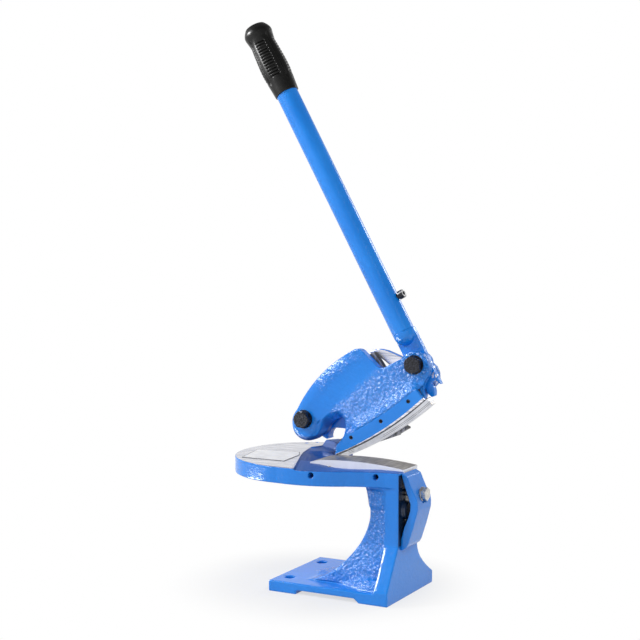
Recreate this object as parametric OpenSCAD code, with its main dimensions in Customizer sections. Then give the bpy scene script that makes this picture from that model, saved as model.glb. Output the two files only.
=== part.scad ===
// Bench lever shear: a cast frame with a round table, a geared hand lever and a swinging blade arm.
// Millimetres. X runs to the right along the cut, Y to the back, Z up.
// The origin is the middle point between the two bench bolt holes, on the underside of the base.
// The arm stands at its open stop, as drawn; it closes clockwise as seen from the front.

/* [Base] */
// Length of the base, left to right
base_l = 190; // [184:1:200]
// Depth of the base, front to back
base_d = 158; // [150:1:170]
// Thickness of the base
base_t = 16; // [14:1:18]
// Diameter of the bench bolt holes
bench_hole_d = 15; // [11:1:17]
// Distance between the bench bolt holes
bench_hole_pitch = 100; // [90:1:110]
// Distance from the left end of the base to the bench bolt holes
bench_hole_inset = 19; // [16:1:22]
// Height of the relief under the base
relief_h = 6; // [4:0.5:8]

/* [Column] */
// Thickness of the column, front to back
column_t = 65; // [60:1:72]
// How far the column's rough web lies behind the faces round it
web_relief = 2.5; // [1.5:0.5:4]
// Thickness of the rib on the right end of the column
end_rib_t = 22; // [18:1:26]

/* [Table] */
// Height of the table above the bench
table_h = 184; // [178:1:190]
// Radius of the round table
table_r = 121; // [115:1:127]
// Height of the table's skirt
skirt_h = 24; // [22:1:28]
// How far the painted part of the table lies below its machined part
paint_drop = 2; // [1:0.5:3]

/* [Lower blade] */
// Width of the lower blade, front to back
low_blade_w = 48; // [44:1:52]
// Height of the bowed top of the lower blade above the table
low_blade_rise = 5.8; // [4:0.2:8]
// Radius of the bow along the top of the lower blade
low_blade_bow_r = 600; // [500:10:800]
// Diameter of the screws that clamp the lower blade
clamp_screw_d = 8; // [6:1:10]

/* [Blade clamp] */
// Width of the strap that holds the end of the lower blade
strap_w = 48; // [42:1:52]
// Diameter of the strap's bolt
strap_bolt_d = 10; // [8:1:12]

/* [Gears] */
// Module of the toothed segment and the lever's pinion
gear_module = 8; // [7.9:0.05:8.1]
// Thickness of the lever's pinion
pinion_t = 10; // [9:0.5:10.5]
// Width that each tooth flank is cut back for backlash
backlash = 0.25; // [0.15:0.05:0.4]

/* [Arm] */
// Slope of the line between the pivots with the arm open, in degrees
arm_slope = 26.55; // [25.5:0.25:27.5]
// Thickness of the arm's web
web_t = 13; // [11:0.5:14]
// Radius of the lobe round the arm's rear pivot
hub_r = 27; // [25:0.5:29]
// Radius of the arm's front pivot lug
lug_r = 24; // [22.5:0.5:26]

/* [Upper blade] */
// Thickness of the upper blade at its cutting edge
up_blade_t = 13; // [11:0.5:13.5]
// Radius of the bow along the cutting edge
up_blade_bow_r = 498; // [480:1:520]

/* [Pivots] */
// Diameter of the pivot bolts
pivot_d = 16; // [14:0.5:18]
// Wall of the pivot bushes
bush_wall = 3; // [2:0.5:4]
// Running clearance of the bushes, on the radius
running_gap = 0.05; // [0.03:0.01:0.08]

/* [Lever] */
// Lean of the lever with the arm open, in degrees from the horizontal on the right
lever_lean = 118.8; // [112:0.2:124]
// Width of the lever's flat end
lever_w = 34; // [32:0.5:36]
// Outside diameter of the handle tube
tube_d = 33.7; // [32:0.1:35]
// Wall of the handle tube
tube_wall = 3.2; // [2.5:0.1:4]
// Distance from the lever's pivot to the top of the tube
tube_end = 562; // [522:5:612]
// Length of the grip
grip_l = 117; // [107:5:137]

/* [Hidden] */
$fn = 64;
casting = [0.20, 0.46, 0.86];
steel = [0.78, 0.78, 0.80];
black = [0.10, 0.10, 0.11];

// Base and column
base_x0 = -bench_hole_inset;
base_x1 = base_x0 + base_l;
column_y0 = -42.5 + (65 - column_t) / 2;
column_y1 = column_y0 + column_t;
table_z0 = table_h - skirt_h;
paint_z = table_h - paint_drop;

// Table outline
table_c = [-4, 36];
front_c = [20, 58.5];
front_r = front_c[1] - table_c[1] + sqrt(pow(table_r, 2) - pow(front_c[0] - table_c[0], 2)) + 3.9;
throat_x = 5;
throat_y1 = 66;

// Shear plane and the layers behind it
shear_y = 24;
low_blade_x0 = throat_x + 14.6;
low_blade_x1 = base_x1 - 1;
low_blade_z0 = table_h - 16;
low_blade_top = table_h + low_blade_rise;
jaw_y1 = shear_y - 1.5;
flange_y0 = shear_y + 0.3;
web_y0 = 33;
web_y1 = web_y0 + web_t;
pinion_y0 = 48;
pinion_y1 = pinion_y0 + pinion_t;
segment_y0 = 48.5;
neck_y0 = pinion_y1 + 0.5;
neck_y1 = neck_y0 + 24;
cheek_y0 = pinion_y1 + 0.8;
cheek_y1 = cheek_y0 + 8;
hub_y1 = neck_y0 - 0.3;

// Gears: 40 teeth on the full circle of the segment, 11 on that of the pinion
segment_n = 40;
pinion_n = 11;
pressure = 20;
segment_pitch_r = gear_module * segment_n / 2;
pinion_pitch_r = gear_module * pinion_n / 2;
pivot_span = segment_pitch_r + pinion_pitch_r;
segment_tip_r = segment_pitch_r + 5.5;
segment_root_r = segment_pitch_r - 9.1;
segment_inner_r = segment_root_r - 40.9;
pinion_tip_r = pinion_pitch_r + 8;
pinion_root_r = pinion_pitch_r - 10;
// How far the segment's uppermost tooth stands below the line of centres with the arm open, in degrees
tooth_offset = 2.12;
fixing_r = segment_inner_r + 11;
neck_r = fixing_r + 12;
screw_angles = [1, 19, 36];
dowel_angles = [10, 28];

// Pivots
main_pivot = [-21.7, table_h + 52.8];
lever_pivot = main_pivot + pivot_span * [cos(arm_slope), sin(arm_slope)];
bolt_af = pivot_d * 1.5;
bolt_head_h = pivot_d * 0.6;
washer_t = 2;
bush_d = pivot_d + 2 * (running_gap + bush_wall);
boss_y1 = neck_y1 + 6;
nut_h = pivot_d * 0.8;

// Upper blade and lug in the arm's own frame, whose first axis runs from pivot to pivot
lug_c = [pivot_span - 3.5, -4];
lobe_c = [-2.2, -6.7];
seat_c = [66.6, 427.7];
seat_r = seat_c[1] + 70.9;
edge_c = [81.2, up_blade_bow_r - 79.3];
blade_u0 = 31;
blade_u1 = 208;
tongue_y0 = 31.5;
tongue_y1 = shear_y + 0.2 + up_blade_t + 0.3;
flange_screws = [65.4, 121.2, 174.8];

// Lever
lever_y = 49;
tube_start = 52;
bore_d = tube_d - 2 * tube_wall - 0.3;
grip_r0 = tube_end + 12 - grip_l;
lock_r = 102;
lock_gap = 2.8;
shoulder_x = 31.5;
spigot_l = 76;

// Points and placing

function on_circle(c, r, a) = c + r * [cos(a), sin(a)];
function arc(c, r, a0, a1, n = 24) = [for (i = [0:n]) on_circle(c, r, a0 + (a1 - a0) * i / n)];
function involute(a) = tan(a) * 180 / PI - a;

// Height of a bowed edge above its chord line at u, for a circle below which the edge hangs
function bow_v(c, r, u) = c[1] - sqrt(r * r - pow(u - c[0], 2));
function bow(c, r, u0, u1, n = 20) = [for (i = [0:n]) let (u = u0 + (u1 - u0) * i / n) [u, bow_v(c, r, u)]];

// A drawing in the XZ plane, made solid from y0 to y1
module slab_y(y0, y1) {
    translate([0, y1, 0]) rotate([90, 0, 0]) linear_extrude(y1 - y0) children();
}

// A drawing in the YZ plane, made solid from x0 to x1
module slab_x(x0, x1) {
    translate([x0, 0, 0]) rotate([90, 0, 90]) linear_extrude(x1 - x0) children();
}

module rod_x(d, x0, x1) {
    translate([x0, 0, 0]) rotate([0, 90, 0]) cylinder(d = d, h = x1 - x0);
}

module rod_y(d, y0, y1) {
    translate([0, y1, 0]) rotate([90, 0, 0]) cylinder(d = d, h = y1 - y0);
}

module hex_y(af, y0, y1, turn = 30) {
    translate([0, y1, 0]) rotate([90, turn, 0]) cylinder(d = af / cos(30), h = y1 - y0, $fn = 6);
}

module at_main_pivot() {
    translate([main_pivot[0], 0, main_pivot[1]]) children();
}

module at_lever_pivot() {
    translate([lever_pivot[0], 0, lever_pivot[1]]) children();
}

// The arm's frame: first axis from pivot to pivot, second axis square to it and up
module on_arm() {
    at_main_pivot() rotate([0, -arm_slope, 0]) children();
}

// The lever's frame: first axis along the tube, away from the pivot
module on_lever() {
    at_lever_pivot() rotate([0, -lever_lean, 0]) children();
}

// Base, column and table

module base_plate() {
    difference() {
        translate([base_x0, -base_d / 2, 0]) cube([base_l, base_d, base_t]);
        slab_y(-base_d, base_d)
            polygon([[26, -1], [26, relief_h], [base_x1 - 52, relief_h], [base_x1 - 44, -1]]);
    }
}

// Inner curve of the column, from the base up to the table
module column_profile() {
    foot = [28, 119];
    wide = base_x1 - 46 - foot[0];
    tall = foot[1] - base_t;
    curve = [for (i = [0:20]) let (t = 90 * i / 20)
        foot + [wide * pow(cos(t), 1.25), -tall * pow(sin(t), 1.25)]];
    polygon(concat([[base_x1, base_t - 2], [base_x1, table_h - 10], [base_x1 - 53, table_h - 10],
        [base_x1 - 53, table_z0 - 2], [base_x1 - 49, table_z0 - 22], [base_x1 - 46, table_z0 - 34]],
        curve, [[28, base_t - 2]]));
}

// The web is a little thicker near the base
module web_profile() {
    front = column_y0 + web_relief;
    polygon([[front, table_h - 10], [front, 77], [column_y0 - 7.5, 30], [column_y0 - 7.5, 1],
        [column_y1 + 7.5, 1], [column_y1 + 7.5, 30], [column_y1, 77], [column_y1, table_h - 10]]);
}

function foot_half(x) = 72 * pow(1 - pow(max(0, (base_x1 - 19 - x) / 135), 1.5), 1 / 1.5);

module foot_outline(inset) {
    side = [for (i = [0:12]) let (x = base_x1 - 154 + inset + (135 - inset) * i / 12) [x, max(0, foot_half(x) - inset)]];
    back = [for (i = [12:-1:0]) [side[i][0], -side[i][1]]];
    polygon(concat(side, back));
}

// Low mound where the web runs out into the base
module foot_mound() {
    hull() {
        translate([0, 0, base_t - 1]) linear_extrude(1) foot_outline(0);
        // The crest climbs to the right
        translate([0, 0, base_t + 2]) rotate([0, -4.7, 0]) linear_extrude(0.5) foot_outline(14.5);
    }
}

module column() {
    intersection() {
        slab_y(-base_d / 2, base_d / 2) column_profile();
        slab_x(0, base_x1) web_profile();
    }
    // Thicker head under the jaw
    translate([base_x1 - 47, column_y0, table_z0 - 30]) cube([47, column_t, 40]);
    // End rib that spreads to the full depth of the base
    slab_x(base_x1 - end_rib_t, base_x1) polygon(concat(
        [[-base_d / 2, 1], [-base_d / 2, base_t + 3], [column_y0, 77], [column_y0, table_h - 10],
        [column_y1, table_h - 10], [column_y1, 68]],
        [for (i = [1:8]) let (t = i / 8) [column_y1 + (base_d / 2 - column_y1) * t, 68 - 50 * pow(t, 0.62)]],
        [[base_d / 2, 1]]));
}

module table_outline() {
    difference() {
        union() {
            translate(table_c) circle(r = table_r, $fn = 120);
            polygon(concat(arc(front_c, front_r, -101, -57, 12),
                [[base_x1 - 48, -53], [base_x1 - 21, -45.5], [base_x1, column_y0], [base_x1, jaw_y1],
                [0, jaw_y1]]));
        }
        // Throat behind the jaw, open to the right, and the slanting edge of the rear horn
        polygon(concat(arc([throat_x + 8, jaw_y1 + 8], 8, 270, 180, 6),
            arc([throat_x + 8, throat_y1 - 8], 8, 180, 90, 6),
            [[45, throat_y1], [45 - 0.53 * 110, throat_y1 + 110], [base_x1 + 30, throat_y1 + 110],
            [base_x1 + 30, jaw_y1]]));
    }
}

// Line between the machined part of the table and its painted part, front to back
function machined_edge() = [[33, -100], [27, -85], [-18, 16], [-29, 44], [-38.7, 79], [-42.8, 95], [-33, 118],
    [-22, 138], [-18, 175]];

module table_body() {
    difference() {
        translate([0, 0, table_z0]) linear_extrude(skirt_h) table_outline();
        // Painted part, slightly lower
        translate([0, 0, paint_z]) linear_extrude(paint_drop + 1)
            polygon(concat(machined_edge(), [[base_x1 + 30, 175], [base_x1 + 30, -100]]));
        // Valley that runs down to the throat
        hull() {
            translate([0, 0, paint_z + 1]) linear_extrude(1)
                polygon([[-16, 17], [-26, 44], [-33, 66], [-20, 80], [40, 66], [40, 10], [20, -10], [-4, -12]]);
            translate([throat_x - 6, jaw_y1 - 4, table_h - 16]) cube([20, 40, 1]);
        }
        // Hollow in front of the lower blade
        hull() {
            translate([0, 0, paint_z + 1]) linear_extrude(1)
                polygon([[24, -20], [30, -38], [50, -52], [95, -56], [150, -40], [152, -20]]);
            translate([62, -28, table_h - 5.2]) cube([22, 8, 1]);
        }
        // Pockets under the table, left of the valley
        difference() {
            translate([table_c[0], table_c[1], table_z0 - 1]) cylinder(r = table_r - 10, h = 12);
            translate([-52, -100, table_z0 - 2]) cube([300, 300, 20]);
            translate([-200, table_c[1] - 4, table_z0 - 2]) cube([300, 8, 20]);
        }
    }
}

// Neck behind the arm: rises from the rear horn and carries the main pivot and the toothed segment
module neck_outline() {
    difference() {
        union() {
            translate(main_pivot) circle(r = 26);
            polygon(concat(
                [main_pivot + [-12, 23], main_pivot + [80, 84]],
                arc(main_pivot, neck_r, 40, -4, 12),
                [[90, table_h + 27], [60, table_h + 17], [44, table_h + 8], [28, table_h - 6], [17, table_h - 6],
                [19, table_h + 13], main_pivot + [8, -24.5]]));
        }
        // Arch over the rear horn
        translate([18, table_h + 24]) circle(r = 15);
        translate([31, table_h + 25.5]) circle(r = 13.5);
        translate([18, table_h + 12]) square([13, 27]);
    }
}

module neck() {
    slab_y(neck_y0, neck_y1) neck_outline();
    at_main_pivot() rod_y(52, neck_y1 - 1, boss_y1);
    // Rib along the back of the neck
    slab_y(neck_y1 - 1, neck_y1 + 7) polygon([main_pivot + [10, 12], main_pivot + [60, 40],
        main_pivot + [96, 0], main_pivot + [80, -33], [46, table_h + 14],
        main_pivot + [67.5, -24], main_pivot + [72, -2], main_pivot + [52, 22], main_pivot + [16, -4]]);
    // Root on the rear horn
    hull() {
        translate([0, 0, table_z0]) linear_extrude(skirt_h - 6)
            polygon([[17, throat_y1], [30, throat_y1], [20, 92], [6, 128], [-16, 128]]);
        translate([0, 0, table_h + 14]) linear_extrude(1)
            polygon([[20, neck_y0], [46, neck_y0], [41, neck_y1], [18, neck_y1]]);
    }
    // Swelling that runs out over the rear of the table
    hull() {
        translate([0, 0, table_z0 + 4]) linear_extrude(1)
            polygon([[-50, 118], [-38, 104], [14, 92], [4, 140], [-20, 150], [-50, 148]]);
        translate([0, 0, table_h + 8]) linear_extrude(1)
            polygon([[-30, 120], [-10, 108], [12, 94], [10, 110], [-16, 138]]);
    }
}

module frame() {
    color(casting) difference() {
        union() {
            base_plate();
            foot_mound();
            column();
            table_body();
            neck();
            // Boss that the strap's bolt runs into
            translate([0, -20, 127]) rod_x(26, base_x1 - 1, base_x1 + 6);
        }
        for (s = [-1, 1]) translate([0, s * bench_hole_pitch / 2, -1]) cylinder(d = bench_hole_d, h = base_t + 2);
        lower_blade_seat();
        for (p = set_screw_places) translate([p[0], 0, p[1]]) rod_y(clamp_screw_d, -200, -low_blade_w / 2 + 1);
        strap_bolt_place() rod_x(strap_bolt_d, -40, 40);
        at_main_pivot() rod_y(pivot_d, neck_y0 - 1, boss_y1 + 1);
        at_main_pivot() for (a = screw_angles) rotate([0, -a, 0]) translate([fixing_r, 0, 0])
            rod_y(6, neck_y0 - 1, neck_y0 + 16);
        at_main_pivot() for (a = dowel_angles) rotate([0, -a, 0]) translate([fixing_r, 0, 0])
            rod_y(8, neck_y0 - 1, neck_y0 + 12);
        // Tapped holes in the rear of the table
        for (p = [[-56, 139], [-68, 125]]) translate([p[0], p[1], table_h - 14]) cylinder(d = 5, h = 20);
    }
}

module label_plate() {
    color(steel) translate([table_c[0] - table_r, 0, table_h]) linear_extrude(0.6)
        polygon([[38, -40], [110, -40], [104, 18], [91, 41], [22, 31]]);
}

// Lower blade and its clamp

// The seat is open to the right and to the back
module lower_blade_plan(grow) {
    y0 = -low_blade_w / 2 - grow;
    translate([low_blade_x0 - grow, y0])
        square([low_blade_x1 - low_blade_x0 + 5 * grow, shear_y + 20 * grow - y0]);
}

module lower_blade_seat() {
    translate([0, 0, low_blade_z0]) linear_extrude(40) lower_blade_plan(0.3);
}

module lower_blade() {
    top_c = [low_blade_x0 + 68, low_blade_top - low_blade_bow_r];
    color(steel) intersection() {
        translate([0, 0, low_blade_z0]) linear_extrude(40) lower_blade_plan(0);
        slab_y(-60, 60) intersection() {
            translate([0, low_blade_z0]) square([low_blade_x1 + 10, 40]);
            translate(top_c) circle(r = low_blade_bow_r, $fn = 720);
            // Lead-in ground on the left end
            polygon([[low_blade_x0, low_blade_z0], [low_blade_x0, table_h - 0.6], [low_blade_x0 + 8, table_h + 2],
                [low_blade_x0 + 20, table_h + 4.3], [low_blade_x0 + 40, table_h + 9], [low_blade_x1 + 9, table_h + 9],
                [low_blade_x1 + 9, low_blade_z0]]);
        }
    }
}

// Where the two set screws enter the skirt, seen from the front, and how deep they lie
set_screw_places = [[52.3, table_h - 8.3], [base_x1 - 33, table_h - 9]];
set_screw_lengths = [44, 14];

module lower_blade_set_screws() {
    color(black) for (i = [0, 1]) translate([set_screw_places[i][0], 0, set_screw_places[i][1]]) {
        y1 = -low_blade_w / 2;
        y0 = y1 - set_screw_lengths[i];
        difference() {
            rod_y(clamp_screw_d - 0.1, y0, y1);
            hex_y(clamp_screw_d / 2, y0 - 1, y0 + 4);
        }
    }
}

// Where the washer lies, from the frame's right end
spot_x = 21.2;

module strap_bolt_place() {
    translate([base_x1, (column_y0 + column_y1) / 2, table_h - 34]) children();
}

module blade_clamp() {
    color(casting) difference() {
        translate([base_x1, (column_y0 + column_y1) / 2, table_h]) slab_y(-strap_w / 2, strap_w / 2) polygon([
            [0, -3.5], [1.5, -3.5], [9.3, -7.5], [12.4, -15], [17.5, -26], [24.2, -38.2], [25.7, -46],
            [25.5, -54.5], [22.5, -66], [19, -79], [15, -91.5], [11, -103.5], [8, -108.5], [2, -112.5],
            [0, -113], [0, -97], [5, -79.5], [10.5, -66], [13.8, -55], [13.9, -45], [10.4, -35],
            [6.1, -23.5], [1.9, -11]]);
        // Spot face for the bolt's washer
        strap_bolt_place() rod_x(strap_bolt_d * 2.6, spot_x, 40);
        strap_bolt_place() rod_x(strap_bolt_d + 1, -1, 40);
    }
}

module clamp_washer() {
    color(steel) strap_bolt_place() difference() {
        rod_x(strap_bolt_d * 2, spot_x, spot_x + washer_t);
        rod_x(strap_bolt_d + 0.5, 20, 30);
    }
}

module clamp_bolt() {
    color(steel) strap_bolt_place() {
        rod_x(strap_bolt_d - 0.1, -30, spot_x + washer_t + 1);
        translate([spot_x + washer_t, 0, 0]) rotate([0, 90, 0])
            cylinder(d = strap_bolt_d * 1.7 / cos(30), h = strap_bolt_d * 0.7, $fn = 6);
    }
}

// Toothed segment

// Outline of one involute tooth at the angle a, from its lower root over the tip to its upper root
function tooth(n, root_r, tip_r, a) =
    let (pitch_r = gear_module * n / 2,
        base_r = pitch_r * cos(pressure),
        half = 90 / n + involute(pressure) - backlash / pitch_r * 180 / PI,
        r0 = max(base_r, root_r),
        rise = [for (i = [0:8]) let (r = r0 + (tip_r - r0) * i / 8) [r, half - involute(acos(min(1, base_r / r)))]],
        side = base_r > root_r ? concat([[root_r, rise[0][1]]], rise) : rise)
    concat([for (p = side) on_circle([0, 0], p[0], a - p[1])],
        [for (i = [len(side) - 1:-1:0]) on_circle([0, 0], side[i][0], a + side[i][1])]);

function flat_list(lists) = [for (l = lists) for (p = l) p];

// Toothed ring sector; its teeth end where the travel does, and its lower end is trimmed along a bent line
module segment_outline() {
    tooth_step = 360 / segment_n;
    trim = [for (p = [[-110, -54], [-11, -16.6], [-9.3, -14.3], [15, 0.3]]) p + [segment_pitch_r, 0]];
    difference() {
        polygon(concat(
            arc([0, 0], segment_inner_r, 50, -30, 20),
            arc([0, 0], segment_root_r, -30, -14, 4),
            flat_list([for (k = [-3:0]) tooth(segment_n, segment_root_r, segment_tip_r,
                arm_slope - tooth_offset + k * tooth_step)]),
            arc([0, 0], segment_root_r, 29, 44, 6)));
        polygon(concat(trim, [trim[3] - [0, 200], trim[0] - [0, 200]]));
    }
}

module toothed_segment() {
    color(steel) at_main_pivot() difference() {
        slab_y(segment_y0, neck_y0) segment_outline();
        for (a = screw_angles) rotate([0, -a, 0]) translate([fixing_r, 0, 0]) {
            rod_y(9, segment_y0 - 1, neck_y0 + 1);
            rod_y(15, segment_y0 - 1, segment_y0 + 9);
        }
        for (a = dowel_angles) rotate([0, -a, 0]) translate([fixing_r, 0, 0])
            rod_y(8, segment_y0 - 1, neck_y0 + 1);
    }
}

module segment_screws() {
    color(black) at_main_pivot() for (a = screw_angles) rotate([0, -a, 0]) translate([fixing_r, 0, 0])
        difference() {
            union() {
                rod_y(13, segment_y0 + 1, segment_y0 + 9);
                rod_y(5.9, segment_y0 + 8, neck_y0 + 15);
            }
            hex_y(6, segment_y0, segment_y0 + 5);
        }
}

module segment_dowels() {
    color(steel) at_main_pivot() for (a = dowel_angles) rotate([0, -a, 0]) translate([fixing_r, 0, 0])
        rod_y(7.98, segment_y0 + 1, neck_y0 + 11);
}

// Pivot hardware

module pivot_bolt(head_y1, end_y, turn = 30) {
    rod_y(pivot_d - 0.02, head_y1 - 1, end_y);
    intersection() {
        hex_y(bolt_af, head_y1 - bolt_head_h, head_y1, turn);
        // Chamfered corners of the head
        translate([0, head_y1, 0]) rotate([90, 0, 0])
            cylinder(d1 = bolt_af * 1.5, d2 = bolt_af * 0.98, h = bolt_head_h);
    }
}

module ring_y(outer_d, inner_d, y0, y1) {
    difference() {
        rod_y(outer_d, y0, y1);
        rod_y(inner_d, y0 - 1, y1 + 1);
    }
}

module pivot_nut(y0) {
    difference() {
        hex_y(bolt_af, y0, y0 + nut_h);
        rod_y(pivot_d, y0 - 1, y0 + nut_h + 1);
    }
}

module main_pivot_bolt() {
    color(black) at_main_pivot() pivot_bolt(web_y0 - 0.3 - washer_t, boss_y1 + nut_h + 2, 4);
}

module main_pivot_washer() {
    color(black) at_main_pivot() ring_y(pivot_d * 1.75, pivot_d, web_y0 - 0.3 - washer_t, web_y0 - 0.3);
}

module main_pivot_nut() {
    color(black) at_main_pivot() pivot_nut(boss_y1);
}

module main_pivot_bush() {
    color(steel) at_main_pivot() ring_y(bush_d - 0.02, pivot_d - 0.02 + 2 * running_gap, web_y0, hub_y1);
}

module lever_pivot_bolt() {
    color(black) at_lever_pivot() pivot_bolt(web_y0 - washer_t, cheek_y1 - 1);
}

module lever_pivot_washer() {
    color(black) at_lever_pivot() ring_y(pivot_d * 1.75, pivot_d, web_y0 - washer_t, web_y0);
}

module lever_pivot_bush() {
    color(steel) at_lever_pivot() ring_y(bush_d - 0.02, pivot_d - 0.02 + 2 * running_gap, web_y1 + 0.4, cheek_y0 - 0.4);
}

// Arm casting, drawn in the arm's frame

// Front outline above the blade's seat: hump, notch, lug, seat, foot and the S-shaped front edge
module web_outline() {
    polygon(concat(
        arc([0, 0], 22, 250, 160, 8),
        arc([121.9, -159.4], 219.5, 130.5, 90, 16),
        arc([123.5, 46.6], 13.5, 84, 21, 5),
        [[148, 21.5], [151, 17.5], [156, 16.2], [pivot_span - 22, 16.4]],
        arc(lug_c, lug_r, 122, -58, 16),
        [[pivot_span, -31], [pivot_span - 7, -39.6], [pivot_span - 9, bow_v(seat_c, seat_r, pivot_span - 9)]],
        bow(seat_c, seat_r, pivot_span - 11, 40, 16),
        [[38, -57.5], [48, -53], [57, -47], [62, -41.5], [66, -35], [69, -27], [68, -18], [64.5, -12], [58, -7.5],
        [50, -5.5], [42, -6], [33, -8.4], [22, -12.6], [13, -15.4], [3, -19]]));
}

// The thick rear part of the casting, from the lobe over the hook to the foot
module hook_outline(grow) {
    polygon(concat(
        [[0, 20 + grow], [70, 20 + grow], [76, 0], [75, -20], [72, -30], [66, -38], [56, -46]],
        [[46 - grow, -50], [53 - grow, -43 - grow / 2], [58 - grow, -35 - grow / 2]],
        arc([50.5, -28.5], 8 - grow / 2, 5, 100, 5),
        [[38, -21 - grow / 2], [28, -25 - grow / 2], [19.5, -30.5 - grow / 2], [12, -33], [0, -30], [-8, 0]]));
}

module flange_outline(grow) {
    polygon(concat(
        [[pivot_span - 4.5, bow_v(seat_c, seat_r, pivot_span - 4.5)]],
        bow(seat_c, seat_r, pivot_span - 6, 31, 16),
        [[29.2, -68.9], [38.5, -56.9], [49.1, -52.9], [58.7, -47.1]],
        [for (i = [0:8]) let (u = 62 + (pivot_span - 11 - 62) * i / 8)
            [u, bow_v([41.9, 602], 651.4, u) + grow]]));
}

// Lobe turned about its own axis, with a large round on its front edge
module lobe() {
    r = 10;
    translate([lobe_c[0], 0, lobe_c[1]]) rotate([-90, 0, 0]) rotate_extrude($fn = 96) polygon(concat(
        [[0, web_y0]], [for (i = [0:6]) let (a = 90 - 15 * i) [hub_r - r + r * cos(a), web_y0 + r - r * sin(a)]],
        [[hub_r, hub_y1], [0, hub_y1]]));
}

module arm_solid() {
    slab_y(web_y0, web_y1) web_outline();
    lobe();
    rod_y(46, web_y1 - 1, hub_y1);
    // Rear of the hook in three steps that round its front edge
    slab_y(web_y0 + 1.5, web_y0 + 8) hook_outline(-3.4);
    slab_y(web_y0 + 4, web_y0 + 8) hook_outline(-1.4);
    slab_y(web_y0 + 7, hub_y1) hook_outline(0);
    // Flange that clamps the blade's tongue against the web
    slab_y(flange_y0, tongue_y0) flange_outline(-1.5);
    slab_y(flange_y0 + 1.5, web_y0 + 1) flange_outline(0);
    // Lug
    translate([lug_c[0], 0, lug_c[1]]) rod_y(2 * lug_r, web_y0, web_y1);
    // Bridge to the rear cheek, which holds the far end of the lever's pivot
    slab_y(web_y1 - 1, cheek_y1) difference() {
        polygon([[156, -60], [163, -34], [176, -38], [pivot_span - 14, -46], [180, -56], [170, -59]]);
        circle(r = segment_tip_r + 2.5);
        translate([pivot_span, 0]) circle(r = pinion_tip_r + 2.5);
    }
    slab_y(cheek_y0, cheek_y1) cheek_outline();
}

// The rear cheek keeps outside the neck while the arm swings
module cheek_outline() {
    difference() {
        union() {
            translate([pivot_span, 0]) circle(r = 16);
            polygon([[133.5, 50.2], [141.5, 49.8], [151.7, 46.5], [161.3, 39.8], [167.1, 33.9], [175.1, 25.4],
                [pivot_span - 15, 10], [pivot_span, 13], [pivot_span + 14, -5], [pivot_span + 18, -13],
                [pivot_span + 18, -23], [pivot_span + 12, -36], [pivot_span - 14, -45], [180, -55], [165, -58],
                [153, -56], [151, -30], [157, -5], [157, 10], [153.8, 20.8], [149.9, 28.3], [144.8, 35.8],
                [140.1, 40.7], [134.8, 46]]);
        }
        circle(r = neck_r + 3);
    }
}

module upper_arm() {
    color(casting) on_arm() difference() {
        arm_solid();
        // Slot for the blade's tongue and seat for its thick lower part
        slab_y(tongue_y0 - 0.2, tongue_y1) translate([0, -0.1]) polygon(concat(
            bow([seat_c[0], seat_c[1] + 20], seat_r, 20, pivot_span + 20, 12),
            bow([seat_c[0], seat_c[1] - 30], seat_r, pivot_span + 20, 20, 12)));
        slab_y(0, tongue_y1) polygon(concat(bow(seat_c, seat_r, 0, pivot_span + 40, 16),
            [[pivot_span + 40, -120], [0, -120]]));
        rod_y(bush_d, 0, 90);
        translate([pivot_span, 0, 0]) rod_y(pivot_d, 0, 90);
        for (u = flange_screws) flange_screw_place(u) rod_y(6, 0, tongue_y0 + 0.2);
    }
}

module flange_screw_place(u) {
    translate([u, 0, bow_v(seat_c, seat_r, u) + 14.5]) children();
}

// Upper blade: a thin tongue in the arm's slot and a thick lower part that ends in the cutting edge
module upper_blade() {
    color(steel) on_arm() {
        slab_y(tongue_y0, tongue_y1 - 0.3) intersection() {
            polygon(concat(bow([seat_c[0], seat_c[1] + 19.5], seat_r, blade_u0 + 4, pivot_span - 10, 12),
                bow([seat_c[0], seat_c[1] - 2], seat_r, pivot_span - 10, blade_u0 + 4, 12)));
            polygon([[20, -120], [pivot_span + 10, -120], [pivot_span - 14, 0], [60, 0]]);
        }
        slab_y(shear_y + 0.2, tongue_y1 - 0.3) polygon(concat(
            bow([seat_c[0], seat_c[1] - 0.1], seat_r, blade_u1 - 4, blade_u0, 16),
            bow(edge_c, up_blade_bow_r, blade_u0 + 4, blade_u1, 16)));
    }
}

module upper_blade_set_screws() {
    color(black) on_arm() for (u = flange_screws) flange_screw_place(u) difference() {
        rod_y(5.9, flange_y0 + 1, tongue_y0);
        hex_y(3, flange_y0, flange_y0 + 4);
    }
}

// Lever

// Flat end of the lever: its left side runs into the pinion's teeth, its right side cuts the last tooth
module lever_plate() {
    tooth_step = 360 / pinion_n;
    first = 180 + arm_slope - lever_lean + tooth_offset * segment_n / pinion_n - tooth_step / 2;
    teeth = flat_list([for (k = [0:4]) tooth(pinion_n, pinion_root_r, pinion_tip_r, first + k * tooth_step)]);
    last = teeth[len(teeth) - 1];
    intersection() {
        polygon(concat([[tube_start, -pinion_tip_r], [tube_start, lever_w / 2], [teeth[0][0], lever_w / 2]],
            teeth, [[last[0], -pinion_tip_r]]));
        translate([-pinion_tip_r - 1, -lever_w / 2]) square(2 * pinion_tip_r + 10);
    }
}

module lever_gear() {
    color(casting) on_lever() difference() {
        union() {
            slab_y(pinion_y0, pinion_y1) lever_plate();
            // Half-round shoulder below the tube, and the spigot inside it
            translate([shoulder_x, lever_y, 0]) rotate([0, 90, 0]) rotate_extrude($fn = 96) polygon(concat(
                [for (i = [0:12]) tube_d / 2 * [sin(90 * i / 12), 1 - cos(90 * i / 12)]],
                [[tube_d / 2, tube_start - shoulder_x], [bore_d / 2, tube_start - shoulder_x],
                [bore_d / 2, tube_start + spigot_l - shoulder_x], [0, tube_start + spigot_l - shoulder_x]]));
        }
        rod_y(bush_d, 0, 90);
        lock_screw_place() cylinder(d = 8, h = 40);
    }
}

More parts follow.
